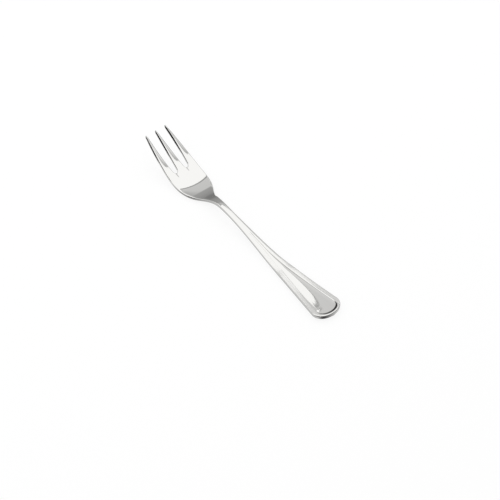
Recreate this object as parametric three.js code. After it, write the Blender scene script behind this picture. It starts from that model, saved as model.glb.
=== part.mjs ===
// A fish fork with three tines: one blank of stainless steel, stamped, tapered, bent and polished.
// Millimetres. +X runs from the handle's end to the tips, +Y to the left side, +Z up off the table.
// A station is a distance along the fork, counted from the handle's end.
import * as THREE from "three";
import { mergeVertices } from "three/addons/utils/BufferGeometryUtils.js";

// Lengths along the fork
const HANDLE_LENGTH = 91;
const STEM_LENGTH = 20;
const NECK_LENGTH = 18;
const PALM_LENGTH = 26;
const TINE_LENGTH = 28;

// The plan: widths across the fork, and the lengths over which they change
const HANDLE_END_WIDTH = 20.4;
const HANDLE_END_ROUND = 8;
const HANDLE_KNEE_TO_NECK = 37;
const HANDLE_KNEE_WIDTH = 3.4;
const STEM_WIDTH = 4.5;
const HEAD_WIDTH = 23.3;
const HEAD_WIDEST_BEFORE_SLOTS = 6;
const SHOULDER_PULL = 21.5;
const TIP_SPREAD = 16.7;

// The side view: how far the underside stands off the table, and where it rests on it
const END_LIFT = 1.6;
const END_LIFT_LENGTH = 42;
const HANDLE_REST_LENGTH = 6;
const ARCH_HEIGHT = 5.6;
const ARCH_EASE = 22;
const PALM_REST_LENGTH = 6;
const PALM_REST_TO_SLOTS = 15;
const NECK_DROP_EASE = 9;
const TIP_HEIGHT = 19.4;
const TINE_BEND_LENGTH = 14;
const TINE_STRAIGHT_LENGTH = 19;
const TINE_SLOPE = THREE.MathUtils.degToRad(30);

// Thickness of the steel, and how far each face bows across its width
const HANDLE_THICKNESS = 2.3;
const NECK_THICKNESS = 3.6;
const PALM_THICKNESS = 2.1;
const TIP_THICKNESS = 1.3;
const STEM_CROWN = 0.6;
const PALM_DISH = 0.8;
const SLOT_DISH = 0.2;
const TIP_DISH = 0.1;
const FLAT_BACK_SHARE = 0.3;

// The rounding of every edge, and the most of the thickness and of the half width that it may take
const EDGE_RADIUS = 0.5;
const EDGE_MOST_OF_THICKNESS = 0.4;
const EDGE_MOST_OF_REACH = 0.5;

// The thread: a raised border round the handle, highest near its inner side, about a crowned panel
const THREAD_WIDTH = 3.2;
const THREAD_MOST_OF_REACH = 0.8;
const THREAD_CREST_SHARE = 0.72;
const THREAD_HEIGHT = 0.5;
const THREAD_START_BEFORE_STEM = 5;
const THREAD_RUN_IN = 14;
const PANEL_CROWN = 0.3;

// Tines
const TINE_ROOT_WIDTH = 5.7;
const TINE_TIP_WIDTH = 1.3;
const TINE_TAPER_POWER = 1.1;
const TINE_NOSE_LENGTH = 1.5;
const TINE_ROWS = { tine_left: 1, tine_middle: 0, tine_right: -1 };

// Fineness of the facets
const PATH_STEPS = 96;
const HANDLE_STEPS = 20;
const HANDLE_END_STEPS = 16;
const STEM_STEPS = 6;
const NECK_STEPS = 10;
const PALM_STEPS = 12;
const CROTCH_STEPS = 6;
const TINE_STEPS = 9;
const TINE_NOSE_STEPS = 6;
const PANEL_COLUMNS = [1, 0.75, 0.5, 0.25];
const EDGE_ANGLES = [0, 45, 90].map(THREE.MathUtils.degToRad);
const WELD_DISTANCE = 1e-4;

// Stations where one region of the blank passes into the next
const stemStart = HANDLE_LENGTH;
const neckStart = stemStart + STEM_LENGTH;
const palmStart = neckStart + NECK_LENGTH;
const slotEnd = palmStart + PALM_LENGTH;
const tipEnd = slotEnd + TINE_LENGTH;
const headWidest = slotEnd - HEAD_WIDEST_BEFORE_SLOTS;
const palmRestEnd = slotEnd - PALM_REST_TO_SLOTS;
const palmRestStart = palmRestEnd - PALM_REST_LENGTH;
const handleRestEnd = END_LIFT_LENGTH + HANDLE_REST_LENGTH;
const handleKnee = neckStart - HANDLE_KNEE_TO_NECK;

// The elliptical end carries on past its widest point until it lies along the handle's sides.
const sideSlope = (HANDLE_END_WIDTH - HANDLE_KNEE_WIDTH) / 2 / (handleKnee - HANDLE_END_ROUND);
const endTurn = Math.atan((sideSlope * HANDLE_END_ROUND) / (HANDLE_END_WIDTH / 2));
const sideStart = HANDLE_END_ROUND * (1 + Math.sin(endTurn));

// The two slots share what the roots of the tines leave of the head's width.
const tineCount = Object.keys(TINE_ROWS).length;
const slotRadius = (HEAD_WIDTH - tineCount * TINE_ROOT_WIDTH) / (tineCount - 1) / 2;

// Reads a path that is drawn as (station, value) at any station.
function readPath(path) {
  const points = path.getPoints(PATH_STEPS);
  return (station) => {
    const next = points.findIndex((point) => point.x >= station);
    const high = next < 0 ? points.length - 1 : Math.max(next, 1);
    const from = points[high - 1];
    const to = points[high];
    return THREE.MathUtils.mapLinear(station, from.x, to.x, from.y, to.y);
  };
}

// A value that eases from the figure at one station to the figure at the next.
function easeThrough(stops) {
  return (station) => {
    const next = stops.findIndex(([at]) => at >= station);
    if (next === 0) return stops[0][1];
    if (next < 0) return stops.at(-1)[1];
    const [fromAt, fromValue] = stops[next - 1];
    const [toAt, toValue] = stops[next];
    const share = THREE.MathUtils.smoothstep(station, fromAt, toAt);
    return THREE.MathUtils.lerp(fromValue, toValue, share);
  };
}

// Half the plan width: the handle tapers to the stem, then the shoulders swell into the head.
const halfWidthAt = readPath(
  new THREE.Path()
    .moveTo(sideStart, (HANDLE_END_WIDTH / 2) * Math.cos(endTurn))
    .quadraticCurveTo(handleKnee, HANDLE_KNEE_WIDTH / 2, neckStart, STEM_WIDTH / 2)
    .bezierCurveTo(
      neckStart + SHOULDER_PULL,
      STEM_WIDTH / 2,
      headWidest - SHOULDER_PULL,
      HEAD_WIDTH / 2,
      headWidest,
      HEAD_WIDTH / 2,
    )
    .quadraticCurveTo((headWidest + tipEnd) / 2, HEAD_WIDTH / 2, tipEnd, TIP_SPREAD / 2),
);

// The middle of the underside: turned up at the handle's end, at rest under the handle, arched at the
// neck, at rest again under the palm, and rising to the tips.
const undersideAt = readPath(
  new THREE.Path()
    .moveTo(0, END_LIFT)
    .quadraticCurveTo(END_LIFT_LENGTH / 2, 0, END_LIFT_LENGTH, 0)
    .lineTo(handleRestEnd, 0)
    .bezierCurveTo(
      handleRestEnd + ARCH_EASE,
      0,
      neckStart - ARCH_EASE,
      ARCH_HEIGHT,
      neckStart,
      ARCH_HEIGHT,
    )
    .bezierCurveTo(
      neckStart + NECK_DROP_EASE,
      ARCH_HEIGHT,
      palmRestStart - NECK_DROP_EASE,
      0,
      palmRestStart,
      0,
    )
    .lineTo(palmRestEnd, 0)
    .bezierCurveTo(
      palmRestEnd + TINE_BEND_LENGTH,
      0,
      tipEnd - TINE_STRAIGHT_LENGTH,
      TIP_HEIGHT - TINE_STRAIGHT_LENGTH * Math.tan(TINE_SLOPE),
      tipEnd,
      TIP_HEIGHT,
    ),
);

// Thickness through the middle of the section, square to the underside
const thicknessAt = easeThrough([
  [handleRestEnd, HANDLE_THICKNESS],
  [neckStart, NECK_THICKNESS],
  [palmRestStart, PALM_THICKNESS],
  [slotEnd, PALM_THICKNESS],
  [tipEnd, TIP_THICKNESS],
]);

// How far the upper face's edges lie below its middle: the stem is crowned and the palm is dished.
const upperBowAt = easeThrough([
  [handleRestEnd, 0],
  [neckStart, STEM_CROWN],
  [palmRestStart, -PALM_DISH],
  [palmRestEnd, -PALM_DISH],
  [slotEnd, -SLOT_DISH],
  [tipEnd, -TIP_DISH],
]);

// How far the underside's edges lie above its middle
const lowerBowAt = easeThrough([
  [handleRestEnd, 0],
  [neckStart, STEM_CROWN],
  [palmRestStart, PALM_DISH],
  [palmRestEnd, PALM_DISH],
  [slotEnd, SLOT_DISH],
  [tipEnd, TIP_DISH],
]);

// The slope of the underside thickens a section that is cut square to X.
function uprightThickness(station) {
  const step = tipEnd / PATH_STEPS;
  const rise = undersideAt(Math.min(station + step, tipEnd)) - undersideAt(station - step);
  return thicknessAt(station) * Math.hypot(1, rise / (2 * step));
}

function acrossShare(station, y) {
  return Math.abs(y) / halfWidthAt(Math.max(station, sideStart));
}

function upperHeight(station, y) {
  const bow = upperBowAt(station) * acrossShare(station, y) ** 2;
  return undersideAt(station) + uprightThickness(station) - bow;
}

function lowerHeight(station, y) {
  const share = Math.max(acrossShare(station, y) - FLAT_BACK_SHARE, 0) / (1 - FLAT_BACK_SHARE);
  return undersideAt(station) + lowerBowAt(station) * share ** 2;
}

// The handle's relief: the thread along the rim, the groove inside it, and the crown of the panel.
function threadRelief(station, inset, reach, thread) {
  const threadStart = stemStart - THREAD_START_BEFORE_STEM;
  const fade = THREE.MathUtils.smoothstep(threadStart - station, 0, THREAD_RUN_IN);
  if (inset <= thread) {
    const crest = THREAD_CREST_SHARE * thread;
    const fromCrest = (inset - crest) / (inset < crest ? crest : thread - crest);
    return fade * THREAD_HEIGHT * (1 - fromCrest ** 2);
  }
  const panelShare = (reach - inset) / (reach - thread);
  return fade * PANEL_CROWN * (1 - panelShare ** 2);
}

// How far a rounded edge falls away, at a distance in from the rim
function edgeDrop(inset, radius) {
  return inset < radius ? radius - Math.sqrt(radius ** 2 - (radius - inset) ** 2) : 0;
}

// The columns of a spoke are distances in from the rim, listed from the middle line outwards.
function edgeColumns(radius) {
  return EDGE_ANGLES.map((angle) => radius * (1 - Math.sin(angle)));
}

function edgeRadiusAt(station, reach) {
  const roomInThickness = EDGE_MOST_OF_THICKNESS * thicknessAt(station);
  return Math.min(EDGE_RADIUS, roomInThickness, EDGE_MOST_OF_REACH * reach);
}

function bodySpoke(centre, rim) {
  const reach = centre.distanceTo(rim);
  const radius = edgeRadiusAt(rim.x, reach);
  const thread = Math.min(THREAD_WIDTH, THREAD_MOST_OF_REACH * reach);
  const crest = THREAD_CREST_SHARE * thread;
  const columns = [
    ...PANEL_COLUMNS.map((share) => thread + (reach - thread) * share),
    thread,
    (thread + crest) / 2,
    crest,
    (crest + radius) / 2,
    ...edgeColumns(radius),
  ];
  return spoke(centre, rim, columns, radius, (station, inset) =>
    threadRelief(station, inset, reach, thread),
  );
}

function tineSpoke(centre, rim) {
  const reach = centre.distanceTo(rim);
  const radius = edgeRadiusAt(rim.x, reach);
  const columns = [reach, (reach + radius) / 2, ...edgeColumns(radius)];
  return spoke(centre, rim, columns, radius, () => 0);
}

// A spoke of skin: out over the upper face from the middle line, round the edge, and back beneath.
function spoke(centre, rim, columns, radius, relief) {
  const reach = centre.distanceTo(rim);
  const across = columns.map((inset) => rim.clone().lerp(centre, inset / reach));
  const upper = across.map(({ x, y }, k) => {
    const lift = relief(x, columns[k]) - edgeDrop(columns[k], radius);
    return new THREE.Vector3(x - tipEnd / 2, y, upperHeight(x, y) + lift);
  });
  const lower = across.map(({ x, y }, k) => {
    const lift = edgeDrop(columns[k], radius);
    return new THREE.Vector3(x - tipEnd / 2, y, lowerHeight(x, y) + lift);
  });
  return [...upper, ...lower.reverse()];
}

function addQuad(corners, a, b, c, d) {
  corners.push(a, b, c, a, c, d);
}

// Skin between neighbouring spokes, which run down the left side and up the right one
function addSkin(corners, spokes) {
  spokes.slice(1).forEach((next, k) => {
    const last = spokes[k];
    for (let i = 0; i + 1 < next.length; i += 1) {
      addQuad(corners, last[i], last[i + 1], next[i + 1], next[i]);
    }
  });
}

// The flat cut across half a section, between its upper and lower columns
function addCut(corners, half) {
  const end = half.length - 1;
  for (let i = 0; 2 * (i + 1) <= end; i += 1) {
    addQuad(corners, half[i], half[end - i], half[end - i - 1], half[i + 1]);
  }
}

function closedGeometry(corners) {
  const geometry = new THREE.BufferGeometry().setFromPoints(corners);
  const merged = mergeVertices(geometry, WELD_DISTANCE);
  const index = [...merged.index.array];
  const kept = [];
  for (let i = 0; i < index.length; i += 3) {
    const [a, b, c] = index.slice(i, i + 3);
    if (a !== b && b !== c && c !== a) kept.push(a, b, c);
  }
  merged.setIndex(kept);
  merged.computeVertexNormals();
  return merged;
}

function stationsBetween(from, to, steps) {
  return Array.from({ length: steps + 1 }, (_, k) => THREE.MathUtils.lerp(from, to, k / steps));
}

const middlePoint = (station) => new THREE.Vector2(station, 0);
const rimPoint = (station, side) => new THREE.Vector2(station, side * halfWidthAt(station));

// A length of the blank between two flat cuts, with a spoke to each side at every station
function barGeometry(from, to, steps) {
  const stations = stationsBetween(from, to, steps);
  const right = stations.map((at) => bodySpoke(middlePoint(at), rimPoint(at, -1)));
  const left = stations.map((at) => bodySpoke(middlePoint(at), rimPoint(at, 1))).reverse();
  const corners = [];
  addSkin(corners, right);
  addSkin(corners, left);
  addCut(corners, left[0]);
  addCut(corners, right[0]);
  addCut(corners, left.at(-1).toReversed());
  addCut(corners, right.at(-1).toReversed());
  return closedGeometry(corners);
}

// Points round an elliptical end, about a focus on the middle line, from one side to the other. The
// turn is how far the end carries on past its widest point.
function roundEnd(focus, length, halfWidth, heading, turn, steps) {
  const most = Math.PI / 2 + turn;
  return stationsBetween(-most, most, steps).map((angle) => {
    const along = heading * length * Math.cos(angle);
    const across = heading * halfWidth * Math.sin(angle);
    return new THREE.Vector2(focus.x + along, focus.y + across);
  });
}

// The handle: spokes down its left side, round its end and up its right side
function handleGeometry() {
  const stations = stationsBetween(sideStart, stemStart, HANDLE_STEPS);
  const focus = middlePoint(HANDLE_END_ROUND);
  const right = stations.map((at) => bodySpoke(middlePoint(at), rimPoint(at, -1)));
  const left = stations.map((at) => bodySpoke(middlePoint(at), rimPoint(at, 1))).reverse();
  const end = roundEnd(focus, HANDLE_END_ROUND, HANDLE_END_WIDTH / 2, -1, endTurn, HANDLE_END_STEPS);
  const round = end.slice(1, -1).map((rim) => bodySpoke(focus, rim));
  const spokes = [...left, ...round, ...right];
  const corners = [];
  addSkin(corners, spokes);
  addCut(corners, left[0]);
  addCut(corners, right.at(-1).toReversed());
  return closedGeometry(corners);
}

// Width of one tine, before its root spreads into the round ends of the slots
function tineWidthAt(station) {
  const share = THREE.MathUtils.clamp((station - slotEnd) / TINE_LENGTH, 0, 1);
  return THREE.MathUtils.lerp(TINE_ROOT_WIDTH, TINE_TIP_WIDTH, share ** TINE_TAPER_POWER);
}

// The slot beside the middle tine: what the three tines leave open, closed by a round end
function slotAt(station) {
  const inner = tineWidthAt(station) / 2;
  const outer = halfWidthAt(station) - tineWidthAt(station);
  const fromRound = Math.max(slotEnd + slotRadius - station, 0) / slotRadius;
  const half = ((outer - inner) / 2) * Math.sqrt(Math.max(1 - fromRound ** 2, 0));
  const middle = (outer + inner) / 2;
  return { inner: middle - half, outer: middle + half };
}

// The two edges of a tine: row 1 is the left one, row 0 the middle one, row -1 the right one.
function tineEdges(station, row) {
  const slot = slotAt(station);
  if (row === 0) return { low: -slot.inner, high: slot.inner };
  const rim = halfWidthAt(station);
  return row > 0 ? { low: slot.outer, high: rim } : { low: -rim, high: -slot.outer };
}

// A tine: spokes up its right side, round its nose and down its left side
function tineGeometry(row) {
  const noseStart = tipEnd - TINE_NOSE_LENGTH;
  const roundStations = stationsBetween(0, Math.PI / 2, CROTCH_STEPS)
    .map((angle) => slotEnd + slotRadius * (1 - Math.cos(angle)));
  const stations = [
    ...roundStations,
    ...stationsBetween(slotEnd + slotRadius, noseStart, TINE_STEPS).slice(1),
  ];
  const lines = stations.map((at) => {
    const { low, high } = tineEdges(at, row);
    const centre = new THREE.Vector2(at, (low + high) / 2);
    return {
      right: tineSpoke(centre, new THREE.Vector2(at, low)),
      left: tineSpoke(centre, new THREE.Vector2(at, high)),
    };
  });
  const { low, high } = tineEdges(noseStart, row);
  const focus = new THREE.Vector2(noseStart, (low + high) / 2);
  const end = roundEnd(focus, TINE_NOSE_LENGTH, (high - low) / 2, 1, 0, TINE_NOSE_STEPS);
  const nose = end.slice(1, -1).map((rim) => tineSpoke(focus, rim));
  const right = lines.map((line) => line.right);
  const left = lines.map((line) => line.left).reverse();
  const corners = [];
  addSkin(corners, [...right, ...nose, ...left]);
  addCut(corners, right[0]);
  addCut(corners, left.at(-1).toReversed());
  return closedGeometry(corners);
}

const polishedSteel = () =>
  new THREE.MeshStandardMaterial({ color: 0xd8d7d3, roughness: 0.14, metalness: 1 });

const fork = new THREE.Group();

function addRegion(name, geometry) {
  const mesh = new THREE.Mesh(geometry, polishedSteel());
  mesh.name = name;
  fork.add(mesh);
}

addRegion("handle", handleGeometry());
addRegion("stem", barGeometry(stemStart, neckStart, STEM_STEPS));
addRegion("neck", barGeometry(neckStart, palmStart, NECK_STEPS));
addRegion("palm", barGeometry(palmStart, slotEnd, PALM_STEPS));
Object.entries(TINE_ROWS).forEach(([name, row]) => addRegion(name, tineGeometry(row)));

export default fork;
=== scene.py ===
"""A fish fork of polished steel, built from its sizes and dressed for a studio view.

The shape code works in millimetres and the meshes are in metres. +X runs from the handle's end to
the tips, +Y to the fork's left and +Z up off the table. A station is a distance along the fork,
counted from the handle's end. An inset is a distance in from an edge of the steel.
"""

import logging
import math
from dataclasses import dataclass, field
from enum import Enum
from functools import cached_property
from typing import Any, Callable, Sequence

import bpy
import numpy as np
from mathutils import Matrix, Vector

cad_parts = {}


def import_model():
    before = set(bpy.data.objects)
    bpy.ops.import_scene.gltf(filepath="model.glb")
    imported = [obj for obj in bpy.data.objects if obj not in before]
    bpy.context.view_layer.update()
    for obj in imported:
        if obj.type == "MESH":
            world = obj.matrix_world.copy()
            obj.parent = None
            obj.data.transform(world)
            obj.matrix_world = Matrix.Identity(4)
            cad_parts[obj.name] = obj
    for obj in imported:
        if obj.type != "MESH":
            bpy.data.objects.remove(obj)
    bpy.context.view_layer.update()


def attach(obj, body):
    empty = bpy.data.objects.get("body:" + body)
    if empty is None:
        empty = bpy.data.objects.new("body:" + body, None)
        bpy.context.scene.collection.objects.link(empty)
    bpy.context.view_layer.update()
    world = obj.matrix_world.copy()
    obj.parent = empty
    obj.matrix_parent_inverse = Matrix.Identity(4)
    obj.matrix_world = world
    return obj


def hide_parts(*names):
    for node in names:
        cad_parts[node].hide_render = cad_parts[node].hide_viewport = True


Array = np.ndarray
Colour = tuple[float, float, float, float]
Figures = tuple[float, ...]
Formula = Callable[[Array, Array], Array]
Pair = tuple[float, float]

LOG = logging.getLogger("fish_fork")
METRES = 0.001
STEEL_SLOT = "polished_steel"

# How finely the formulas are worked out, with lengths in millimetres
PATH_POINTS = 1200
HALVINGS = 40
OUTERMOST_INSET = -0.5
SLOPE_STEP = 0.03
RIM_STEP = 0.4
STEEPEST_RIM = 1.5
UPRIGHT_STEP = 1.5
TINY = 1e-9

# The sockets of a Mix node that carry colours
MIX_FIRST, MIX_SECOND, MIX_RESULT = 6, 7, 2

EVEN_SHADE = ((0.0, 1.0), (1.0, 1.0))


class Side(Enum):
    """The side of the middle plane that a tine stands on, as the sign of its Y."""

    LEFT = 1
    MIDDLE = 0
    RIGHT = -1


@dataclass(frozen=True)
class ForkSizes:
    """The sizes of the fork in millimetres, with its places along the fork as stations."""

    # Where the pieces meet, where the back lies on the table, and where the plan turns
    stem_start: float = 91.0
    neck_start: float = 111.0
    palm_start: float = 129.0
    slot_end: float = 155.0
    tip_end: float = 183.0
    handle_rest_start: float = 42.0
    handle_rest_end: float = 48.0
    palm_rest_start: float = 134.0
    palm_rest_end: float = 140.0
    handle_knee: float = 74.0
    head_widest: float = 149.0

    # The plan: widths, and the lengths over which they change
    handle_end_width: float = 20.4
    handle_end_round: float = 8.0
    handle_knee_width: float = 3.4
    stem_width: float = 4.5
    shoulder_pull: float = 21.5
    head_width: float = 23.29
    tip_spread: float = 16.7

    # The side view: heights of the underside, and the lengths over which they change
    end_lift: float = 1.6
    arch_height: float = 5.6
    arch_ease: float = 22.0
    neck_drop_ease: float = 9.0
    tip_height: float = 19.28
    tine_bend_length: float = 14.0
    tine_straight_length: float = 19.0
    tine_slope: float = math.radians(30.0)

    # Thickness, and how far each face's edges lie from its middle: at the handle's rest, the neck,
    # the palm's rest, the slots and the tips, with one stop more for each face
    thicknesses: Figures = (2.3, 3.6, 2.1, 2.1, 1.3)
    upper_bows: Figures = (0.0, 0.6, -0.8, -0.2, -0.1)
    upper_bow_stop: Pair = (122.0, 0.08)
    lower_bows: Figures = (0.0, 0.6, 0.8, 0.2, 0.1)
    lower_bow_stop: Pair = (134.0, 0.8)
    flat_back_share: float = 0.3

    # The fall of the upper face towards its rim, along the stem and along the shoulders
    rim_fall: float = 0.6
    rim_fall_power: float = 4.0
    rim_fall_stops: Figures = (42.0, 60.0, 98.0, 116.0)
    shoulder_fall: float = 0.35
    shoulder_fall_width: float = 1.3
    shoulder_fall_stops: Figures = (114.0, 126.0, 141.0, 150.0)

    # Rounded edges: the radius, and the most that it takes of the thickness and of the half width
    body_edge: Figures = (0.55, 0.26, 0.5)
    tip_edge: Figures = (0.9, 0.5, 0.75)

    # The thread along the handle's rim, and the panel inside it
    thread_width: float = 3.2
    thread_end_width: float = 2.4
    thread_most_of_reach: float = 0.8
    thread_crest_share: float = 0.91
    thread_end_crest_share: float = 0.32
    thread_height: float = 0.33
    thread_stop: float = 86.0
    thread_run_in: float = 14.0
    thread_rim_width: float = 1.5
    thread_rim_drop: float = 0.1
    panel_crown: float = 0.5
    panel_edge_fall: float = 0.2
    panel_step: float = 0.07
    panel_step_power: float = 12.0

    # The tines, and the flutes that lead back from the slots
    tine_root_width: float = 5.7
    tine_tip_width: float = 1.3
    tine_taper_power: float = 1.1
    tine_nose_length: float = 1.5
    tine_crown: float = 0.15
    tip_crown: float = 0.6
    crown_overrun: float = 1.5
    flute_length: float = 7.0
    flute_width: float = 1.8
    flute_depth: float = 0.38
    flute_haste_past_slot: float = 3.0

    @property
    def end_turn(self) -> float:
        """Angle by which the elliptical end carries on past its widest point."""
        narrowing = 1 - self.handle_knee_width / self.handle_end_width
        return math.atan(narrowing / (self.handle_knee / self.handle_end_round - 1))

    @property
    def side_start(self) -> float:
        """Station where the elliptical end passes into the handle's sides."""
        return self.handle_end_round * (1 + math.sin(self.end_turn))

    @property
    def tine_length(self) -> float:
        """Length of the tines from the slots' round ends."""
        return self.tip_end - self.slot_end

    @property
    def slot_radius(self) -> float:
        """Radius of the round ends of the two slots between the three tines."""
        return (self.head_width - 3 * self.tine_root_width) / 4

    @property
    def nose_start(self) -> float:
        """Station where the tines start to round off."""
        return self.tip_end - self.tine_nose_length


def smoothstep(value: Array) -> Array:
    """Eases from 0 to 1 with level ends: 3t^2 - 2t^3, with t held to 0..1."""
    t = np.clip(value, 0.0, 1.0)
    return t * t * (3.0 - 2.0 * t)


def blend(first: Any, second: Any, share: Array) -> Array:
    """Goes from the first figure to the second by a share."""
    return first + (second - first) * share


def level_ended(start: Pair, stop: Pair, pull: float) -> list[Pair]:
    """Control points of a cubic with level ends, whose handles reach in by a pull."""
    return [start, (start[0] + pull, start[1]), (stop[0] - pull, stop[1]), stop]


def bezier_table(*pieces: Sequence[Pair]) -> tuple[Array, Array]:
    """Points on a chain of Bezier pieces: the sum of each control point times its Bernstein weight.

    Args:
        pieces: The control points of each piece, two to four of (station, value).

    Returns:
        The stations and the values of the points, in order.
    """
    steps = np.linspace(0.0, 1.0, PATH_POINTS)[:, None]
    points = []
    for piece in pieces:
        degree = len(piece) - 1
        powers = np.arange(degree + 1)
        weights = np.array([math.comb(degree, k) for k in powers])
        bernstein = weights * steps**powers * (1.0 - steps) ** (degree - powers)
        points.append(bernstein @ np.asarray(piece, dtype=float))
    chain = np.concatenate(points)
    return chain[:, 0], chain[:, 1]


def ease_through(station: Array, stops: Sequence[Pair]) -> Array:
    """Eases by smoothstep from the figure at one stop to the figure at the next.

    Args:
        station: Stations to read.
        stops: (station, figure) pairs in order.

    Returns:
        The figures at the stations.
    """
    at, figure = np.array(stops).T
    place = np.interp(station, at, np.arange(len(at)))
    first = np.minimum(place.astype(int), len(at) - 2)
    return blend(figure[first], figure[first + 1], smoothstep(place - first))


def swell(station: Array, stops: Figures, height: float) -> Array:
    """Eases up to a height between the first two of four stops, and down between the last two."""
    return ease_through(station, tuple(zip(stops, (0.0, height, height, 0.0))))


def ellipse_inset(x: Array, y: Array, length: float, half: Array | float) -> Array:
    """Distance in from an elliptical end, by bisection on a family of ellipses.

    A point lies at inset i where (x / (length - i))^2 + (y / (half - i))^2 = 1.

    Args:
        x: Distance out from the end's focus, at least 0.
        y: Distance from the middle line.
        length: Length of the end.
        half: Half width of the end.

    Returns:
        The insets, below 0 outside the end.
    """
    low = np.full(np.broadcast(x, y, half).shape, OUTERMOST_INSET)
    high = np.broadcast_to(np.minimum(length, half), low.shape).copy()
    for _ in range(HALVINGS):
        middle = (low + high) / 2
        inside = (x / (length - middle)) ** 2 + (y / (half - middle)) ** 2 < 1.0
        low = np.where(inside, middle, low)
        high = np.where(inside, high, middle)
    return (low + high) / 2


def gradient(formula: Formula, station: Array, y: Array) -> tuple[Array, Array]:
    """Slopes of a formula along and across, by central differences.

    Args:
        formula: A function of station and distance across.
        station: Stations of the points.
        y: Their distances across.

    Returns:
        The slope along X and the slope along Y.
    """
    step, run = SLOPE_STEP, 2 * SLOPE_STEP
    along = (formula(station + step, y) - formula(station - step, y)) / run
    across = (formula(station, y + step) - formula(station, y - step)) / run
    return along, across


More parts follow.
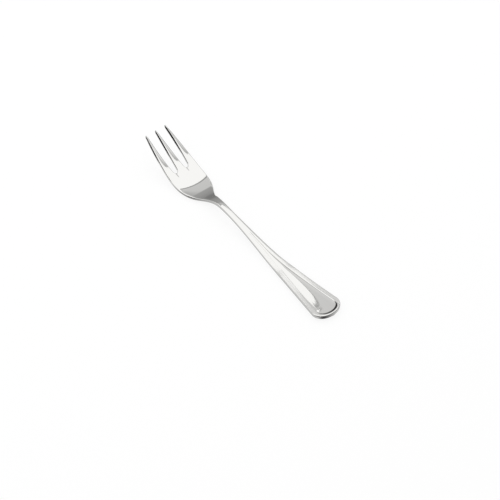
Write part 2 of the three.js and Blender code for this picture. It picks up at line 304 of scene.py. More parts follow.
@dataclass(frozen=True)
class Blank:
    """The steel of the whole fork as formulas of station and distance across."""

    sizes: ForkSizes

    @cached_property
    def _side_path(self) -> tuple[Array, Array]:
        """Half width past the elliptical end: taper, shoulders, then the sides of the head.

        Returns:
            Stations and half widths along a chain of Bezier pieces.
        """
        mm = self.sizes
        side = (mm.side_start, mm.handle_end_width / 2 * math.cos(mm.end_turn))
        stem, head = (mm.neck_start, mm.stem_width / 2), (mm.head_widest, mm.head_width / 2)
        beside_tines = ((mm.head_widest + mm.tip_end) / 2, mm.head_width / 2)
        return bezier_table(
            [side, (mm.handle_knee, mm.handle_knee_width / 2), stem],
            level_ended(stem, head, mm.shoulder_pull),
            [head, beside_tines, (mm.tip_end, mm.tip_spread / 2)],
        )

    @cached_property
    def _under_path(self) -> tuple[Array, Array]:
        """Height of the middle of the underside, from the lifted end to the tips.

        Returns:
            Stations and heights along a chain of Bezier pieces.
        """
        mm = self.sizes
        down, away = (mm.handle_rest_start, 0.0), (mm.handle_rest_end, 0.0)
        arch = (mm.neck_start, mm.arch_height)
        belly, bend = (mm.palm_rest_start, 0.0), (mm.palm_rest_end, 0.0)
        foot_height = mm.tip_height - mm.tine_straight_length * math.tan(mm.tine_slope)
        return bezier_table(
            [(0.0, mm.end_lift), (mm.handle_rest_start / 2, 0.0), down],
            [down, away],
            level_ended(away, arch, mm.arch_ease),
            level_ended(arch, belly, mm.neck_drop_ease),
            [belly, bend],
            [
                bend,
                (mm.palm_rest_end + mm.tine_bend_length, 0.0),
                (mm.tip_end - mm.tine_straight_length, foot_height),
                (mm.tip_end, mm.tip_height),
            ],
        )

    def _ease_along(self, station: Array, figures: Figures, *between: Pair) -> Array:
        """Eases through figures at the handle's rest, the neck, the palm's rest, slots and tips.

        Args:
            station: Stations to read.
            figures: One figure for each of the five places.
            between: Further (station, figure) stops.

        Returns:
            The figures at the stations.
        """
        mm = self.sizes
        places = (mm.handle_rest_end, mm.neck_start, mm.palm_rest_end, mm.slot_end, mm.tip_end)
        return ease_through(station, sorted((*zip(places, figures), *between)))

    def half_width(self, station: Array) -> Array:
        """Half the plan width: an ellipse at the handle's end, then the side path.

        Args:
            station: Stations to read.

        Returns:
            The half widths.
        """
        mm = self.sizes
        along = np.clip(station / mm.handle_end_round - 1.0, -1.0, 1.0)
        end = mm.handle_end_width / 2 * np.sqrt(1.0 - along**2)
        return np.where(station < mm.side_start, end, np.interp(station, *self._side_path))

    def underside(self, station: Array) -> Array:
        """Height of the middle of the underside off the table."""
        return np.interp(station, *self._under_path)

    def thickness(self, station: Array) -> Array:
        """Thickness through the middle, square to the underside."""
        return self._ease_along(station, self.sizes.thicknesses)

    def upright_thickness(self, station: Array) -> Array:
        """Thickness straight up: the thickness times the secant of the underside's slope."""
        rise = self.underside(station + UPRIGHT_STEP) - self.underside(station - UPRIGHT_STEP)
        return self.thickness(station) * np.hypot(1.0, rise / (2 * UPRIGHT_STEP))

    def edge_radius(self, station: Array, reach: Array) -> Array:
        """Radius of the rounded edges, held to its shares of the thickness and the half width.

        Args:
            station: Stations to read.
            reach: Half widths there.

        Returns:
            The radii.
        """
        mm = self.sizes
        on_tine = smoothstep((station - mm.slot_end) / mm.tine_straight_length)
        radius, of_thickness, of_reach = (
            blend(body, tip, on_tine) for body, tip in zip(mm.body_edge, mm.tip_edge)
        )
        held = np.minimum(of_thickness * self.thickness(station), of_reach * reach)
        return np.minimum(radius, held)

    def thread_width(self, reach: Array) -> Array:
        """Width of the thread, held to its share of the half width."""
        return np.minimum(self.sizes.thread_width, self.sizes.thread_most_of_reach * reach)

    def thread_fade(self, station: Array) -> Array:
        """Share of the full relief: 0 before the stem, 1 once the thread has run in."""
        return smoothstep((self.sizes.thread_stop - station) / self.sizes.thread_run_in)

    def thread_lines(self, station: Array) -> tuple[Array, Array]:
        """Insets of the thread's groove and crest, which both draw closer to the rim at the end.

        Args:
            station: Stations to read.

        Returns:
            The groove's inset and the crest's.
        """
        mm = self.sizes
        side = smoothstep(station / mm.handle_end_round)
        full = blend(mm.thread_end_width, mm.thread_width, side)
        half = self.half_width(np.maximum(station, mm.handle_end_round))
        groove = np.minimum(full, mm.thread_most_of_reach * half)
        return groove, groove * blend(mm.thread_end_crest_share, mm.thread_crest_share, side)

    def rim_inset(self, station: Array, y: Array) -> Array:
        """Distance in from the outer rim: by ellipses at the end, square to the sides elsewhere.

        Args:
            station: Stations of the points.
            y: Their distances across.

        Returns:
            The insets.
        """
        mm = self.sizes
        spread = self.half_width(station + RIM_STEP) - self.half_width(station - RIM_STEP)
        slope = np.clip(spread / (2 * RIM_STEP), -STEEPEST_RIM, STEEPEST_RIM)
        side = (self.half_width(station) - np.abs(y)) / np.hypot(1.0, slope)
        out = np.maximum(mm.handle_end_round - station, 0.0)
        end = ellipse_inset(out, np.abs(y), mm.handle_end_round, mm.handle_end_width / 2)
        return np.where(station < mm.handle_end_round, end, side)

    def _round_share(self, station: Array) -> Array:
        """Distance back from where the slots' round ends pass into their sides, in radii."""
        round_stop = self.sizes.slot_end + self.sizes.slot_radius
        return np.maximum(round_stop - station, 0.0) / self.sizes.slot_radius

    def slot_edges(self, station: Array) -> tuple[Array, Array, Array]:
        """The slot beside the middle tine.

        Its edges are what the tines leave open, drawn in to a round end by sqrt(1 - f^2), where f
        runs from 1 at the slot's end to 0 one radius further on.

        Args:
            station: Stations to read.

        Returns:
            The slot's inner edge, its outer edge, and its full half width before the round end.
        """
        mm = self.sizes
        share = np.clip((station - mm.slot_end) / mm.tine_length, 0.0, 1.0)
        width = blend(mm.tine_root_width, mm.tine_tip_width, share**mm.tine_taper_power)
        inner, outer = width / 2, self.half_width(station) - width
        full = (outer - inner) / 2
        half = full * np.sqrt(np.maximum(1.0 - self._round_share(station) ** 2, 0.0))
        middle = (outer + inner) / 2
        return middle - half, middle + half, full

    def slot_inset(self, station: Array, y: Array) -> Array:
        """Distance to the nearer slot: round its end, square to its sides.

        Args:
            station: Stations of the points.
            y: Their distances across.

        Returns:
            The insets.
        """
        inner, outer, full = self.slot_edges(np.maximum(station, self.sizes.slot_end))
        across = (np.abs(y) - (inner + outer) / 2) / full
        return (np.sqrt(self._round_share(station) ** 2 + across**2) - 1.0) * full

    def handle_relief(self, station: Array, y: Array) -> Array:
        """The thread and the panel of the handle.

        The thread drops by (1 - i/w)^2 within the width w of its rim, is level to its crest, and
        falls by cos^2 from there to the groove. With q the share of the way across to the groove,
        the panel is crowned by 1 - q^2, steps down to the groove by 1 - q^p, and its edges fall
        by q^2, further towards the stem.

        Args:
            station: Stations of the points.
            y: Their distances across.

        Returns:
            Heights above the plain face.
        """
        mm = self.sizes
        half = self.half_width(np.maximum(station, mm.handle_end_round))
        groove, crest = self.thread_lines(station)
        inset = self.rim_inset(station, y)
        rim = mm.thread_rim_drop * np.clip(1.0 - inset / mm.thread_rim_width, 0.0, 1.0) ** 2
        inner = np.cos(np.pi / 2 * np.clip((inset - crest) / (groove - crest), 0.0, 1.0)) ** 2
        across = np.minimum((y / (half - groove)) ** 2, 1.0)
        fall = mm.panel_edge_fall * smoothstep((station - mm.handle_end_round) / mm.stem_start)
        panel = (mm.panel_crown + fall) * (1.0 - across) - fall
        panel += mm.panel_step * (1.0 - across ** (mm.panel_step_power / 2))
        return self.thread_fade(station) * (mm.thread_height * inner - rim + panel)

    def flute(self, station: Array, y: Array) -> Array:
        """The shallow flute that leads back from each slot's end: a Gaussian valley that fades out.

        Args:
            station: Stations of the points.
            y: Their distances across.

        Returns:
            Shares of the flute's depth.
        """
        mm = self.sizes
        inner, outer, _ = self.slot_edges(np.full_like(station, mm.slot_end))
        across = (np.abs(y) - (inner + outer) / 2) / (mm.flute_width / 2)
        back = (mm.slot_end - station) / mm.flute_length
        fade = smoothstep(1.0 - back) * smoothstep(1.0 + mm.flute_haste_past_slot * back)
        return np.exp(-(across**2)) * fade

    def tine_rounding(self, station: Array, y: Array) -> Array:
        """How far the top of each tine falls: its crown times the square of the share out.

        Args:
            station: Stations of the points.
            y: Their distances across.

        Returns:
            The falls.
        """
        mm = self.sizes
        inner, outer, _ = self.slot_edges(np.maximum(station, mm.slot_end + mm.slot_radius))
        rim = self.half_width(station)
        is_middle = np.abs(y) < (inner + outer) / 2
        middle = np.where(is_middle, 0.0, (outer + rim) / 2)
        half = np.where(is_middle, inner, (rim - outer) / 2)
        share = np.clip((np.abs(y) - middle) / half, -mm.crown_overrun, mm.crown_overrun)
        fade = smoothstep((station - mm.slot_end) / (2 * mm.slot_radius))
        toward_tip = smoothstep((station - mm.slot_end) / mm.tine_length)
        return blend(mm.tine_crown, mm.tip_crown, toward_tip) * share**2 * fade

    def _share_out(self, station: Array, y: Array) -> Array:
        """Share of the way out from the middle line to the rim."""
        return np.abs(y) / self.half_width(np.maximum(station, self.sizes.side_start))

    def upper(self, station: Array, y: Array) -> Array:
        """Height of the upper face before its edges are rounded.

        The underside plus the upright thickness, less the bow times the square of the share out,
        less the two falls towards the rim, and with the relief of the handle, tines and flutes.

        Args:
            station: Stations of the points.
            y: Their distances across.

        Returns:
            The heights.
        """
        mm = self.sizes
        share = self._share_out(station, y)
        near_rim = np.clip(1.0 - self.rim_inset(station, y) / mm.shoulder_fall_width, 0.0, 1.0)
        section = self._ease_along(station, mm.upper_bows, mm.upper_bow_stop) * share**2
        section += swell(station, mm.rim_fall_stops, mm.rim_fall) * share**mm.rim_fall_power
        section += swell(station, mm.shoulder_fall_stops, mm.shoulder_fall) * near_rim**2
        relief = self.handle_relief(station, y) - self.tine_rounding(station, y)
        plain = self.underside(station) + self.upright_thickness(station) - section
        return plain + relief - mm.flute_depth * self.flute(station, y)

    def lower(self, station: Array, y: Array) -> Array:
        """Height of the underside before its edges are rounded: flat in the middle, bowed outside.

        Args:
            station: Stations of the points.
            y: Their distances across.

        Returns:
            The heights.
        """
        mm = self.sizes
        past_flat = np.maximum(self._share_out(station, y) - mm.flat_back_share, 0.0)
        bow = self._ease_along(station, mm.lower_bows, mm.lower_bow_stop)
        return self.underside(station) + bow * (past_flat / (1.0 - mm.flat_back_share)) ** 2


@dataclass(frozen=True)
class PolishAndPaintedShade:
    """The polishing's marks on the blank and its painted shade, as masks of 0 to 1 that the finish
    reads.
    """

    blank: Blank
    # Where the painted shade lies on the wall inside the handle's end
    wall_facing: Pair = (0.85, 0.5)
    wall_stop: float = 9.0
    wall_fade: float = 4.0
    wall_bell_power: float = 0.5
    thread_sharpness: float = 4.0
    # Painted shade on the edge of the handle's end, where it faces one way
    end_facing: Pair = (0.79, -0.61)
    end_facing_power: float = 6.0
    end_stop: float = 4.8
    end_fade: float = 3.0
    end_darkening: float = 0.95
    # Tones of the cut edges along the fork: duller steel, with painted shade for their dark
    # reflections
    edge_dullness_and_shade_stops: tuple[Pair, ...] = (
        (91.0, 0.52), (111.0, 0.52), (140.0, 0.3), (153.0, 0.62),
        (164.0, 0.8), (168.0, 0.25), (171.0, 0.03), (183.0, 0.01),
    )
    cut_share: float = 0.45
    tip_cut_share: float = 0.16
    tip_cut_start: float = 165.0
    tip_cut_run: float = 8.0

    def facing(self, station: Array, y: Array, way: Pair) -> Array:
        """How squarely the way in from the rim faces a direction: their dot product in 0..1."""
        in_x, in_y = gradient(self.blank.rim_inset, station, y)
        return np.clip(way[0] * in_x + way[1] * in_y, 0.0, 1.0)

    def end_wall_painted_shade(self, station: Array, y: Array) -> Array:
        """Painted shade: the dark reflection in the wall inside the thread at the handle's end.

        A bell over the wall, a power of sin(pi s), times how squarely the wall faces one way.

        Args:
            station: Stations of the points.
            y: Their distances across.

        Returns:
            The mask.
        """
        groove, crest = self.blank.thread_lines(station)
        share = np.clip((self.blank.rim_inset(station, y) - crest) / (groove - crest), 0.0, 1.0)
        bell = np.sin(np.pi * share) ** self.wall_bell_power
        at_end = smoothstep((self.wall_stop - station) / self.wall_fade)
        return bell * self.facing(station, y, self.wall_facing) * at_end

    def soft_polish(self, station: Array, y: Array) -> Array:
        """The thread, where the wheel leaves a softer polish than on the panel."""
        share = 1.0 - self.blank.rim_inset(station, y) / self.blank.thread_lines(station)[1]
        return self.blank.thread_fade(station) * smoothstep(self.thread_sharpness * share)

    def edge_dullness_and_shade(self, station: Array, y: Array) -> Array:
        """How light the cut edges are: duller steel, with painted shade for the dark reflections
        they mirror.

        It eases through a tone for each place along the fork, least along the tines, and more
        painted shade darkens it where the edge of the handle's end faces one way.

        Args:
            station: Stations of the points.
            y: Their distances across.

        Returns:
            The tones.
        """
        toward = self.facing(station, y, self.end_facing) ** self.end_facing_power
        at_end = smoothstep((self.end_stop - station) / self.end_fade)
        darkening = self.end_darkening * toward * at_end
        return ease_through(station, self.edge_dullness_and_shade_stops) * (1.0 - darkening)

    def cut_edge(self, station: Array, sine: Array) -> Array:
        """The cut edge, whose duller steel and painted shade climb further up its rounding towards
        the tips.

        Args:
            station: Stations of the points.
            sine: How far the rounding has turned there, 0 on the upright edge and 1 on the face.

        Returns:
            The mask.
        """
        on_tip = smoothstep((station - self.tip_cut_start) / self.tip_cut_run)
        share = blend(self.cut_share, self.tip_cut_share, on_tip)
        return smoothstep((1.0 - sine) / share)


@dataclass
class Region:
    """A region of the blank: rows of closed sections, capped at both ends.

    Columns are counted over the thread and inside it, for half of the upper face or of the back.
    """

    name: str
    blank: Blank
    top_columns: tuple[int, int] = (26, 20)
    back_columns: tuple[int, int] = (7, 7)
    edge_steps: int = 8
    least_thread_in_radii: float = 1.02
    piece: bpy.types.Object | None = field(default=None, init=False)

    def stations(self) -> Array:
        """Stations of the rows, in order."""
        raise NotImplementedError

    def span(self, station: Array) -> tuple[Array | float, Array, Array]:
        """The section's middle, its half width, and its half width before a nose narrows it."""
        half = self.blank.half_width(station)
        return 0.0, half, half

    def inset(self, station: Array, y: Array) -> Array:
        """Distance in from the nearest edge of the steel."""
        return self.blank.rim_inset(station, y)

    def _across(self, middle: Array | float, half: Array, shares: Array) -> Array:
        """Columns from the left edge to the right one, at shares of the way in to the middle."""
        left = half * (1.0 - shares)
        return middle + np.concatenate([left, -left[:, -2::-1]], axis=1)

    def _insets(self, radius: Array, thread: Array, reach: Array, counts: tuple[int, int]) -> Array:
        """Insets of half a section: round the edge, over the thread, then to the middle.

        Args:
            radius: Radius of the edge at each row.
            thread: Width of the thread there.
            reach: Half the section's width there.
            counts: How many columns lie over the thread and inside it.

        Returns:
            The insets, with one row for every station.
        """
        turn = np.linspace(0.0, np.pi / 2, self.edge_steps)
        over, inside = (np.linspace(0.0, 1.0, count + 1)[1:] for count in counts)
        edge = radius * (1.0 - np.cos(turn))
        parts = [edge, blend(radius, thread, over), blend(thread, reach, inside)]
        return np.concatenate(parts, axis=1)

    def _face(self, station: Array, y: Array, radius: Array, is_top: bool) -> list[Array]:
        """One face of the skin, with its edges rounded by a quarter circle.

        At inset i the edge has turned by the angle a with cos a = 1 - i/r, so the face drops by
        r (1 - sin a) and its normal is sin a times the face's own plus cos a times the way out.

        Args:
            station: Stations of the points.
            y: Their distances across.
            radius: Radius of the edge at each row.
            is_top: Whether this is the upper face.

        Returns:
            Points in metres, unit normals, and the sine of the edge's turn.
        """
        height = self.blank.upper if is_top else self.blank.lower
        facing = 1.0 if is_top else -1.0
        inset = np.clip(self.inset(station, y), 0.0, None)
        sine = np.sqrt(1.0 - (1.0 - np.minimum(inset / radius, 1.0)) ** 2)
        x = station - self.blank.sizes.tip_end / 2
        z = height(station, y) - facing * radius * (1.0 - sine)
        face_x, face_y = gradient(height, station, y)
        in_x, in_y = gradient(self.inset, station, y)
        up = facing * sine
        out = np.sqrt(1.0 - sine**2) / np.maximum(np.hypot(in_x, in_y), TINY)
        normal = np.stack([-up * face_x - out * in_x, -up * face_y - out * in_y, up], axis=2)
        normal /= np.linalg.norm(normal, axis=2, keepdims=True)
        return [np.stack([x, y, z], axis=2) * METRES, normal, sine]

    def skin(self) -> tuple[Array, Array, dict[str, Array]]:
        """The rows of sections, each from the left edge over the top and back beneath.

        Returns:
            Points, unit normals and the named masks, each with one row for every station.
        """
        rows = self.stations()[:, None]
        middle, half, full = self.span(rows)
        radius = self.blank.edge_radius(rows, full)
        thread = np.maximum(self.blank.thread_width(full), radius * self.least_thread_in_radii)
        top_y, back_y = (
            self._across(middle, half, self._insets(radius, thread, full, counts) / full)
            for counts in (self.top_columns, self.back_columns)
        )
        y = np.concatenate([top_y, back_y[:, ::-1]], axis=1)
        station = np.broadcast_to(rows, y.shape)
        on_top = np.arange(y.shape[1]) < top_y.shape[1]
        top = self._face(station[:, on_top], y[:, on_top], radius, True)
        back = self._face(station[:, ~on_top], y[:, ~on_top], radius, False)
        points, normals, sine = (np.concatenate(pair, axis=1) for pair in zip(top, back))
        marks = PolishAndPaintedShade(self.blank)
        masks = {
            "cut_edge": marks.cut_edge(station, sine),
            # Painted shade on the wall inside the handle's end, for its dark reflection
            "end_wall_painted_shade": marks.end_wall_painted_shade(station, y) * on_top,
            # The cut edges' tone: duller steel, with painted shade for their dark reflections
            "edge_dullness_and_shade": marks.edge_dullness_and_shade(station, y),
            "soft_polish": marks.soft_polish(station, y) * on_top,
        }
        return points, normals, masks

    def build(self) -> bpy.types.Object:
        """Makes the closed mesh of the region, with its own normals, and hangs it on the frame.

        Returns:
            The new object.
        """
        points, normals, masks = self.skin()
        rows, columns = points.shape[:2]
        index = np.arange(rows * columns).reshape(rows, columns)
        ahead = np.roll(index, -1, axis=1)
        quads = np.stack([index[:-1], ahead[:-1], ahead[1:], index[1:]], axis=2).reshape(-1, 4)
        caps = [index[0, ::-1], index[-1]]
        corner_normals = normals.reshape(-1, 3)[np.concatenate([quads.ravel(), *caps])]
        corner_normals[-2 * columns : -columns] = (-1.0, 0.0, 0.0)
        corner_normals[-columns:] = (1.0, 0.0, 0.0)
        mesh = bpy.data.meshes.new(self.name + "_skin")
        faces = [*quads.tolist(), *(cap.tolist() for cap in caps)]
        mesh.from_pydata(points.reshape(-1, 3).tolist(), [], faces)
        mesh.polygons.foreach_set("use_smooth", np.ones(len(faces), dtype=bool))
        mesh.validate()
        for name, values in masks.items():
            layer = mesh.attributes.new(name, "FLOAT", "POINT")
            layer.data.foreach_set("value", values.ravel().astype(np.float32))
        mesh.normals_split_custom_set(corner_normals.astype(np.float32))
        self.piece = add_object(self.name + "_polished", mesh)
        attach(self.piece, "root")
        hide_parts(self.name)
        return self.piece

    def dress(self, steel: bpy.types.Material) -> None:
        """Gives the piece its finish."""
        self.piece.data.materials.append(steel)


@dataclass
class Handle(Region):
    """The handle: rows close up by cosine steps round its end, then run evenly to the stem."""

    first_turn: float = math.radians(1.2)
    end_rows: int = 64
    row_step: float = 0.55

    def stations(self) -> Array:
        """Stations from just inside the rounded end to the stem.

        Returns:
            The stations in order.
        """
        mm = self.blank.sizes
        turn = np.linspace(self.first_turn, np.pi / 2, self.end_rows)
        end = mm.handle_end_round * (1.0 - np.cos(turn))
        count = int((mm.stem_start - mm.handle_end_round) / self.row_step)
        side = np.linspace(mm.handle_end_round, mm.stem_start, count)[1:]
        return np.concatenate([end, side])


@dataclass
class Bar(Region):
    """A length of the blank between two flat cuts."""

    start: float = 0.0
    stop: float = 1.0
    row_step: float = 0.45

    def stations(self) -> Array:
        """Even stations between the two cuts."""
        return np.linspace(self.start, self.stop, int((self.stop - self.start) / self.row_step) + 2)


@dataclass
class Palm(Bar):
    """The palm, with close rows and columns where the slots' ends round off its upper face."""

    top_columns: tuple[int, int] = (26, 60)
    close_length: float = 3.0
    close_rows: int = 30

    def stations(self) -> Array:
        """Even stations, then close ones before the slots' ends.

        Returns:
            The stations in order.
        """
        close_start = self.stop - self.close_length
        even = np.linspace(self.start, close_start, int((self.stop - self.start) / self.row_step))
        close = np.linspace(close_start, self.stop, self.close_rows)[1:]
        return np.concatenate([even, close])

    def inset(self, station: Array, y: Array) -> Array:
        """Distance in from the rim or from the end of the nearer slot."""
        return np.minimum(self.blank.rim_inset(station, y), self.blank.slot_inset(station, y))


@dataclass
class Tine(Region):
    """One tine, from its half of the round slot ends to its nose."""

    side: Side = Side.MIDDLE
    top_columns: tuple[int, int] = (20, 14)
    crotch_rows: int = 26
    shaft_rows: int = 60
    nose_rows: int = 24
    last_turn: float = math.radians(88.5)

    def stations(self) -> Array:
        """Cosine steps round the slot's end, even ones up the shaft, sine steps round the nose.

        Returns:
            The stations in order.
        """
        mm = self.blank.sizes
        bend = np.linspace(0.0, np.pi / 2, self.crotch_rows)
        crotch = mm.slot_end + mm.slot_radius * (1.0 - np.cos(bend))
        shaft = np.linspace(mm.slot_end + mm.slot_radius, mm.nose_start, self.shaft_rows)[1:]
        turn = np.linspace(0.0, self.last_turn, self.nose_rows)[1:]
        return np.concatenate([crotch, shaft, mm.nose_start + mm.tine_nose_length * np.sin(turn)])

    def _shaft(self, station: Array) -> tuple[Array, Array]:
        """The tine's middle and half width, held from where its nose rounds off.

        Args:
            station: Stations to read.

        Returns:
            The middle's distance across, and the half width.
        """
        held = np.minimum(station, self.blank.sizes.nose_start)
        inner, outer, _ = self.blank.slot_edges(held)
        rim = self.blank.half_width(held)
        half = inner if self.side is Side.MIDDLE else (rim - outer) / 2
        return self.side.value * (outer + rim) / 2, half

    def span(self, station: Array) -> tuple[Array | float, Array, Array]:
        """The tine's middle and half width, which an ellipse draws in round the nose.

        Args:
            station: Stations to read.

        Returns:
            The middle's distance across, the half width, and the half width before the nose.
        """
        mm = self.blank.sizes
        middle, full = self._shaft(station)
        along = np.clip((station - mm.nose_start) / mm.tine_nose_length, 0.0, 1.0)
        return middle, full * np.sqrt(1.0 - along**2), full

    def inset(self, station: Array, y: Array) -> Array:
        """Distance in from the tine's nearest edge, its nose or the end of a slot.

        Args:
            station: Stations of the points.
            y: Their distances across.

        Returns:
            The insets.
        """
        mm = self.blank.sizes
        middle, half = self._shaft(station)
        shaft = np.minimum(self.blank.rim_inset(station, y), self.blank.slot_inset(station, y))
        out = np.maximum(station - mm.nose_start, 0.0)
        nose = ellipse_inset(out, np.abs(y - middle), mm.tine_nose_length, half)
        return np.where(station > mm.nose_start, nose, shaft)


def add_object(name: str, data: Any) -> bpy.types.Object:
    """Adds an object to the scene.

    Args:
        name: Its name.
        data: Its mesh, light or camera.

    Returns:
        The new object.
    """
    thing = bpy.data.objects.new(name, data)
    bpy.context.scene.collection.objects.link(thing)
    return thing


@dataclass
class Socket:
    """A shader socket that arithmetic can be written on: each operation adds a Math node."""

    nodes: "NodeMaker"
    socket: bpy.types.NodeSocket

    def _math(self, operation: str, first: Any, second: Any) -> "Socket":
        """Adds a Math node for one operation."""
        return self.nodes.make("ShaderNodeMath", {"operation": operation}, {0: first, 1: second})

    def __add__(self, other: Any) -> "Socket":
        """Self plus other."""
        return self._math("ADD", self, other)

    def __mul__(self, other: Any) -> "Socket":
        """Self times other."""
        return self._math("MULTIPLY", self, other)

    def most(self, other: Any) -> "Socket":
        """The greater of self and other."""
        return self._math("MAXIMUM", self, other)


@dataclass
class NodeMaker:
    """Makes the nodes of one tree."""

    tree: bpy.types.NodeTree

    def make(
        self,
        kind: str,
        settings: dict[str, Any] | None = None,
        inputs: dict[int | str, Any] | None = None,
        output: int | str = 0,
    ) -> Socket:
        """Adds a node, sets its settings first and then its sockets.

        Args:
            kind: The node's type.
            settings: Its properties by name.
            inputs: Values or sockets by input name or number.
            output: The output to hand back.

        Returns:
            The chosen output.
        """
        node = self.tree.nodes.new(kind)
        for name, value in (settings or {}).items():
            setattr(node, name, value)
        for key, value in (inputs or {}).items():
            self.put(node.inputs[key], value)
        return Socket(self, node.outputs[output])

    def put(self, target: bpy.types.NodeSocket, value: Any) -> None:
        """Links a socket to a target, or sets the target's value.

        Args:
            target: The input to feed.
            value: A socket or a plain value.
        """
        if isinstance(value, Socket):
            self.tree.links.new(value.socket, target)
        else:
            target.default_value = value

    def mix(self, share: Socket, first: Socket | Colour, second: Socket | Colour) -> Socket:
        """Mixes two colours by a share."""
        inputs = {"Factor": share, MIX_FIRST: first, MIX_SECOND: second}
        return self.make("ShaderNodeMix", {"data_type": "RGBA"}, inputs, MIX_RESULT)

    def noise(self, place: Socket, scale: float, detail: float) -> Socket:
        """Reads soft noise at a place."""
        inputs = {"Vector": place, "Scale": scale, "Detail": detail}
        return self.make("ShaderNodeTexNoise", None, inputs)

    def attribute(self, name: str) -> Socket:
        """Reads a mask that the mesh carries."""
        return self.make("ShaderNodeAttribute", {"attribute_name": name}, None, "Fac")

    def seen(self) -> Socket:
        """Reads 1 for what the eye and reflections see, 0 for the light that falls on things.

        Returns:
            The greatest of the three kinds of ray that see.
        """
        path = self.make("ShaderNodeLightPath").socket.node.outputs
        kinds = ("Is Camera Ray", "Is Glossy Ray", "Is Transmission Ray")
        camera, glossy, through = (Socket(self, path[kind]) for kind in kinds)
        return camera.most(glossy).most(through)

    def cover(self, shader: Socket) -> None:
        """Makes a shader the surface of the material."""
        self.put(self.tree.nodes["Material Output"].inputs["Surface"], shader)


@dataclass(frozen=True)
class Finish:
    """A finish, which becomes a node material."""

    name: str

    def make(self) -> bpy.types.Material:
        """Makes the material and lays its nodes.

        Returns:
            The material.
        """
        material = bpy.data.materials.new(self.name)
        material.use_nodes = True
        self.lay(NodeMaker(material.node_tree))
        return material

    def lay(self, nodes: NodeMaker) -> None:
        """Lays the nodes of the finish."""
        raise NotImplementedError


@dataclass(frozen=True)
class PolishedSteel(Finish):
    """Mirror-polished stainless steel: soft cloudiness, fine polishing lines, duller cut edges,
    and painted shade on those edges and on the wall inside the handle's end.
    """

    name: str = STEEL_SLOT
    bright: Colour = (0.93, 0.927, 0.912, 1.0)
    warm: Colour = (0.92, 0.914, 0.888, 1.0)
    # Near black, for the painted shade on the cut edges and in the handle's end wall
    painted_shade_black: Colour = (0.015, 0.015, 0.015, 1.0)
    cloud_scale: float = 70.0
    cloud_detail: float = 3.0
    line_stretch: tuple[float, float, float] = (60.0, 2600.0, 2600.0)
    line_scale: float = 1.0
    line_detail: float = 2.0
    line_strength: float = 0.02
    line_depth: float = 0.0001
    roughness: float = 0.02
    cloud_roughness: float = 0.015
    line_roughness: float = 0.015
    cut_roughness: float = 0.1
    soft_roughness: float = 0.11

    def lay(self, nodes: NodeMaker) -> None:
        """Lays the steel's colour and polish, with the duller cut edges and the painted shade that
        its masks name.

        Args:
            nodes: The maker of the material's nodes.
        """
        shader = nodes.tree.nodes["Principled BSDF"].inputs
        place = nodes.make("ShaderNodeTexCoord", None, None, "Object")
        drawn = nodes.make("ShaderNodeMapping", None, {"Vector": place, "Scale": self.line_stretch})
        cloud = nodes.noise(place, self.cloud_scale, self.cloud_detail)
        lines = nodes.noise(drawn, self.line_scale, self.line_detail)
        cut, soft = nodes.attribute("cut_edge"), nodes.attribute("soft_polish")
        steel = nodes.mix(cloud, self.bright, self.warm)
        # Painted shade: the wall inside the handle's end is darkened to near black
        steel = nodes.mix(nodes.attribute("end_wall_painted_shade"), steel, self.painted_shade_black)
        # The cut edges: duller steel, with painted shade that goes to near black along the tines
        edge = nodes.mix(nodes.attribute("edge_dullness_and_shade"), self.painted_shade_black, self.bright)
        nodes.put(shader["Base Color"], nodes.mix(cut, steel, edge))
        roughness = cloud * self.cloud_roughness + lines * self.line_roughness + self.roughness
        roughness = roughness + cut * self.cut_roughness + soft * self.soft_roughness
        nodes.put(shader["Roughness"], roughness)
        shader["Metallic"].default_value = 1.0
        relief = {"Height": lines, "Strength": self.line_strength, "Distance": self.line_depth}
        nodes.put(shader["Normal"], nodes.make("ShaderNodeBump", None, relief))


@dataclass(frozen=True)
class CardTone(Finish):
    """The glow of a studio card, which follows the tone that its mesh carries."""

    name: str = "card_tone"

    def lay(self, nodes: NodeMaker) -> None:
        """Feeds the tone to a plain glow."""
        nodes.cover(nodes.make("ShaderNodeEmission", None, {"Color": nodes.attribute("tone")}))


@dataclass(frozen=True)
class FloorPaper(Finish):
    """White paper, which shines where it is seen and keeps a soft shadow."""

    name: str = "white_floor"
    colour: Colour = (0.95, 0.95, 0.95, 1.0)
    glow: float = 0.8

    def lay(self, nodes: NodeMaker) -> None:
        """Mixes a white glow into the paper.

        Args:
            nodes: The maker of the material's nodes.
        """
        paper = nodes.make("ShaderNodeBsdfDiffuse", None, {"Color": self.colour})
        white = nodes.make("ShaderNodeEmission")
        share = nodes.seen() * self.glow
        nodes.cover(nodes.make("ShaderNodeMixShader", None, {0: share, 1: paper, 2: white}))


@dataclass(frozen=True)
class Card:
    """A studio card that only reflections see: an upright sheet whose tone changes.

    Start and stop are the ends of its foot in plan, in metres. Tones pairs heights with figures,
    and shades pairs shares of the way along with figures.
    """

    name: str
    start: Pair
    stop: Pair
    tones: Sequence[Pair]
    shades: Sequence[Pair] = EVEN_SHADE

    def build(self, finish: bpy.types.Material) -> None:
        """Makes the sheet as a grid, with a row for each height and a column for each share.

        The tone of a point is the figure for its height times the figure for its share.

        Args:
            finish: The glow that follows the tone.
        """
        height, tone = np.array(self.tones).T
        along, shade = np.array(self.shades).T
        foot = blend(np.array(self.start), np.array(self.stop), along[:, None])
        feet = np.tile(foot, (len(height), 1))
        points = np.column_stack([feet, np.repeat(height, len(along))])
        index = np.arange(len(points)).reshape(len(height), len(along))
        below, above = index[:-1], index[1:]
        faces = np.stack([below[:, :-1], below[:, 1:], above[:, 1:], above[:, :-1]], axis=2)
        mesh = bpy.data.meshes.new(self.name)
        mesh.from_pydata(points.tolist(), [], faces.reshape(-1, 4).tolist())
        layer = mesh.attributes.new("tone", "FLOAT", "POINT")
        layer.data.foreach_set("value", np.outer(tone, shade).ravel().astype(np.float32))
        mesh.materials.append(finish)
        card = add_object(self.name, mesh)
        card.visible_camera = False
        card.visible_diffuse = False
        card.visible_shadow = False


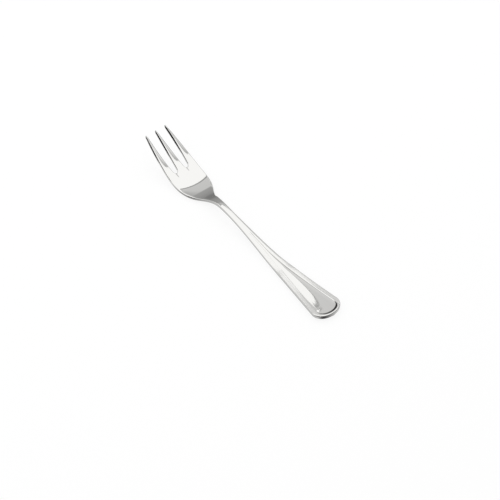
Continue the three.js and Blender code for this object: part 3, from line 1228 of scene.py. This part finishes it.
@dataclass(frozen=True)
class Studio:
    """The camera, the light, the cards and the floor, in metres."""

    target: tuple[float, float, float] = (-0.015787, 0.005915, 0.0)
    azimuth: float = math.radians(37.651)
    elevation: float = math.radians(49.890)
    distance: float = 1.2205
    roll: float = math.radians(-1.376)
    pixels_per_metre: float = 1559.0
    frame_pixels: float = 500.0
    sensor: float = 36.0

    lamp_height: float = 1.0
    lamp_front: float = 0.64
    lamp_back: float = -0.27
    lamp_sides: Pair = (-1.3, 0.9)
    lamp_radiance: float = 1.04
    room_light: float = 0.72
    floor_half: float = 6.0

    def cards(self) -> list[Card]:
        """The grey walls that stand round the fork, and the strips that hang between them.

        Returns:
            The cards.
        """
        front = self.lamp_front
        front_tones = (
            (0.0, 0.2), (0.05, 0.22), (0.12, 0.3), (0.3, 0.35),
            (0.56, 0.38), (0.68, 0.62), (0.983, 0.66),
        )
        front_shades = (
            (0.0, 1.18), (0.17, 1.15), (0.3, 0.95), (0.6, 0.93), (0.79, 0.64), (1.0, 0.6),
        )
        back_tones = (
            (0.0, 0.05), (0.12, 0.1), (0.3, 0.8), (0.76, 0.88),
            (0.85, 0.8), (0.91, 0.6), (0.96, 0.47), (1.0, 0.44),
        )
        side_tones = ((0.0, 0.3), (0.25, 0.42), (0.5, 0.52), (0.8, 0.58), (1.0, 0.6), (1.35, 0.68))
        return [
            Card("front_wall", (front, -1.15), (front, 0.42), front_tones, front_shades),
            Card("front_frame", (front, -1.15), (front, -0.24), ((0.983, 0.34), (1.0, 0.34))),
            Card("back_wall", (-0.07, -1.23), (-0.5, 0.6), back_tones),
            Card("right_wall", (1.1, -1.25), (-0.07, -1.25), side_tones),
            Card("hanging_bar", (0.196, -0.2), (0.196, -0.04), ((0.222, 0.33), (0.242, 0.33))),
            Card("camera_side", (0.16, 0.946), (-1.25, 0.1), ((0.0, 0.03), (2.7, 0.03))),
        ]

    def make_camera(self) -> None:
        """Sets the camera at the photograph's viewing angle, level first and then rolled."""
        data = bpy.data.cameras.new("view")
        data.sensor_width = self.sensor
        data.lens = self.sensor * self.pixels_per_metre * self.distance / self.frame_pixels
        camera = add_object("view", data)
        run, rise = math.cos(self.elevation), math.sin(self.elevation)
        back = Vector((-math.cos(self.azimuth) * run, math.sin(self.azimuth) * run, rise))
        level = (-back).cross(Vector((0.0, 0.0, 1.0))).normalized()
        upright = Matrix((level, level.cross(-back), back)).transposed()
        turn = (upright @ Matrix.Rotation(self.roll, 3, "Z")).to_4x4()
        camera.matrix_world = Matrix.Translation(Vector(self.target) + back * self.distance) @ turn
        bpy.context.scene.camera = camera

    def make_lamp(self) -> None:
        """Hangs the wide soft lamp over the fork: its power is pi times its radiance and area."""
        right, left = self.lamp_sides
        data = bpy.data.lights.new("soft_lamp", "AREA")
        data.shape = "RECTANGLE"
        data.size, data.size_y = self.lamp_front - self.lamp_back, left - right
        data.energy = math.pi * self.lamp_radiance * data.size * data.size_y
        lamp = add_object("soft_lamp", data)
        middle = (self.lamp_front + self.lamp_back) / 2
        lamp.location = (middle, (left + right) / 2, self.lamp_height)
        lamp.visible_camera = False
        lamp.visible_glossy = False

    def make_world(self) -> None:
        """A white world for the eye and for reflections, and a plain light for everything else."""
        world = bpy.data.worlds.new("studio")
        world.use_nodes = True
        nodes = NodeMaker(world.node_tree)
        background = world.node_tree.nodes["Background"].inputs
        background["Color"].default_value = (1.0, 1.0, 1.0, 1.0)
        strength = nodes.seen() * (1.0 - self.room_light) + self.room_light
        nodes.put(background["Strength"], strength)
        bpy.context.scene.world = world

    def make_floor(self) -> None:
        """A level white floor at the table's height, which keeps a soft shadow."""
        half = self.floor_half
        corners = [(-half, -half, 0.0), (half, -half, 0.0), (half, half, 0.0), (-half, half, 0.0)]
        mesh = bpy.data.meshes.new("floor")
        mesh.from_pydata(corners, [], [(0, 1, 2, 3)])
        mesh.materials.append(FloorPaper().make())
        floor = add_object("floor", mesh)


@dataclass
class FishFork:
    """The whole fork: its regions in order from the handle to the tines."""

    blank: Blank = field(default_factory=lambda: Blank(ForkSizes()))

    def regions(self) -> list[Region]:
        """The regions of the blank, one for each CAD node.

        Returns:
            The regions in order from the handle's end.
        """
        mm = self.blank.sizes
        return [
            Handle("handle", self.blank),
            Bar("stem", self.blank, start=mm.stem_start, stop=mm.neck_start),
            Bar("neck", self.blank, start=mm.neck_start, stop=mm.palm_start),
            Palm("palm", self.blank, start=mm.palm_start, stop=mm.slot_end),
            *(Tine(f"tine_{side.name.lower()}", self.blank, side=side) for side in Side),
        ]


def main() -> None:
    """Builds the fork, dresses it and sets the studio."""
    logging.basicConfig(level=logging.INFO, format="%(name)s: %(message)s")
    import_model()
    scene = bpy.context.scene
    scene.view_settings.view_transform = "Standard"
    steel = PolishedSteel().make()
    for region in FishFork().regions():
        piece = region.build()
        region.dress(steel)
        LOG.info("%s: %d faces", piece.name, len(piece.data.polygons))
    studio = Studio()
    studio.make_camera()
    studio.make_world()
    studio.make_lamp()
    studio.make_floor()
    tone = CardTone().make()
    for card in studio.cards():
        card.build(tone)


if __name__ == "__main__":
    main()
